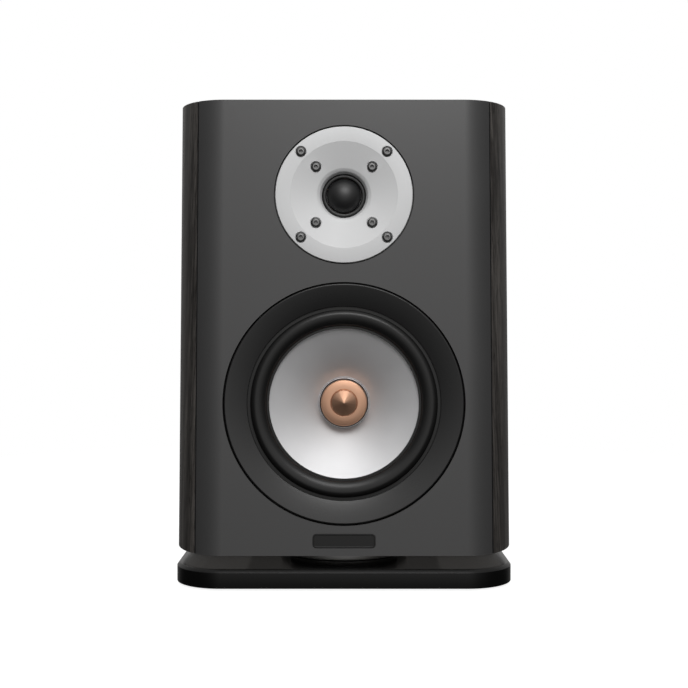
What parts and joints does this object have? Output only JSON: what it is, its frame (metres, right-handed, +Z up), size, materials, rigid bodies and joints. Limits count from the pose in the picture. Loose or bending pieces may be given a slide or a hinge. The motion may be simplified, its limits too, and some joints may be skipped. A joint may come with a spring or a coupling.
{
  "type": "bookshelf speaker",
  "caption": "Two-way bass-reflex bookshelf loudspeaker: a leaning cabinet with curved wood sides on a pedestal base, a sprung cone and dome, and screw-down binding posts.",
  "frame": {"origin": "on the floor, under the middle of the speaker's bounding box", "axes": "+Z up, -Y out of the front baffle towards the listener, +X to the listener's right"},
  "size_m": [0.256, 0.333, 0.3649],
  "materials": {
    "baffle_lacquer": "fibreboard under satin charcoal lacquer",
    "side_veneer": "dark wood veneer with straight vertical grain, semi-matt lacquer",
    "black_board": "fibreboard under matt black paint",
    "raw_board": "raw fibreboard",
    "base_black": "high gloss black lacquer",
    "pedestal_black": "satin black",
    "foot_rubber": "matt black rubber",
    "badge_black": "satin black plate, no lettering",
    "trim_black": "fine satin black",
    "surround_rubber": "smooth black butyl rubber",
    "cone_aluminium": "fine matt anodised",
    "faceplate_aluminium": "bead-blasted, clear anodised",
    "plug_copper": "turned aluminium with polished copper plating",
    "basket_casting": "black-painted casting",
    "motor_steel": "zinc-plated steel",
    "ferrite": "dark sintered ferrite",
    "former_foil": "thin aluminium foil former",
    "coil_copper": "enamelled copper wire",
    "spider_cloth": "resin-dipped woven cotton",
    "dome_fabric": "coated black textile",
    "screw_steel": "dark zinc-plated steel",
    "moulded_black": "fine-textured moulding",
    "post_gold": "gold-plated brass",
    "knob_red": "translucent red moulding over a brass nut",
    "knob_black": "black moulding over a brass nut",
    "circuit_board": "green glass-fibre laminate",
    "capacitor_film": "yellow film wrap",
    "resistor_cement": "white cement body",
    "wadding": "loose polyester fibre"
  },
  "bodies": {
    "cabinet": {"front_baffle": "baffle_lacquer", "side_panel_left": "side_veneer", "side_panel_right": "side_veneer", "top_panel": "black_board", "bottom_panel": "black_board", "rear_panel": "black_board", "internal_brace": "raw_board", "damping_wadding_left": "wadding", "damping_wadding_right": "wadding", "badge_plate": "badge_black", "base_plate": "base_black", "pedestal": "pedestal_black", "foot_1": "foot_rubber", "foot_2": "foot_rubber", "foot_3": "foot_rubber", "foot_4": "foot_rubber", "woofer_basket": "basket_casting", "woofer_trim_ring": "trim_black", "woofer_surround": "surround_rubber", "woofer_spider": "spider_cloth", "woofer_top_plate": "motor_steel", "woofer_magnet": "ferrite", "woofer_back_plate": "motor_steel", "phase_plug": "plug_copper", "tweeter_faceplate": "faceplate_aluminium", "tweeter_surround": "dome_fabric", "tweeter_top_plate": "motor_steel", "tweeter_magnet": "ferrite", "tweeter_back_plate": "motor_steel", "tweeter_rear_chamber": "moulded_black", "port_tube": "moulded_black", "terminal_cup": "moulded_black", "binding_post_red": "post_gold", "binding_post_black": "post_gold", "crossover_board": "circuit_board", "woofer_inductor": "coil_copper", "tweeter_inductor": "coil_copper", "tweeter_capacitor": "capacitor_film", "woofer_capacitor": "capacitor_film", "tweeter_resistor": "resistor_cement", "faceplate_screw_1": "screw_steel", "motor_screw_1": "screw_steel", "faceplate_screw_2": "screw_steel", "motor_screw_2": "screw_steel", "faceplate_screw_3": "screw_steel", "motor_screw_3": "screw_steel", "faceplate_screw_4": "screw_steel", "motor_screw_4": "screw_steel"},
    "woofer_cone_assembly": {"woofer_cone": "cone_aluminium", "voice_coil_former": "former_foil", "voice_coil": "coil_copper"},
    "tweeter_dome_assembly": {"tweeter_dome": "dome_fabric", "tweeter_coil": "coil_copper"},
    "red_clamp_washer": {"post_washer_red": "post_gold"},
    "red_knob": {"binding_knob_red": "knob_red"},
    "black_clamp_washer": {"post_washer_black": "post_gold"},
    "black_knob": {"binding_knob_black": "knob_black"}
  },
  "joints": [
    {"name": "woofer_stroke", "type": "slide", "parent": "cabinet", "child": "woofer_cone_assembly", "axis": [0, -0.9977, 0.0673], "range_m": [-0.006, 0.006], "stiffness_N_per_m": 1000, "deforming": ["woofer_surround", "woofer_spider"]},
    {"name": "tweeter_stroke", "type": "slide", "parent": "cabinet", "child": "tweeter_dome_assembly", "axis": [0, -0.9977, 0.0673], "range_m": [-0.0005, 0.0005], "stiffness_N_per_m": 1500, "deforming": ["tweeter_surround"]},
    {"name": "red_washer_travel", "type": "slide", "parent": "cabinet", "child": "red_clamp_washer", "axis": [0, 0.9977, -0.0673], "range_m": [0, 0.004]},
    {"name": "red_knob_turn", "type": "hinge", "parent": "red_clamp_washer", "child": "red_knob", "pos_m": [0.019, 0.14938, 0.112], "axis": [0, 0.9977, -0.0673], "range_deg": [0, 1445]},
    {"name": "black_washer_travel", "type": "slide", "parent": "cabinet", "child": "black_clamp_washer", "axis": [0, 0.9977, -0.0673], "range_m": [0, 0.004]},
    {"name": "black_knob_turn", "type": "hinge", "parent": "black_clamp_washer", "child": "black_knob", "pos_m": [-0.019, 0.14938, 0.112], "axis": [0, 0.9977, -0.0673], "range_deg": [0, 1445]}
  ],
  "couplings": [
    {"joint": "red_knob_turn", "follows": "red_washer_travel", "rad_per_m": 6283.2},
    {"joint": "black_knob_turn", "follows": "black_washer_travel", "rad_per_m": 6283.2}
  ]
}
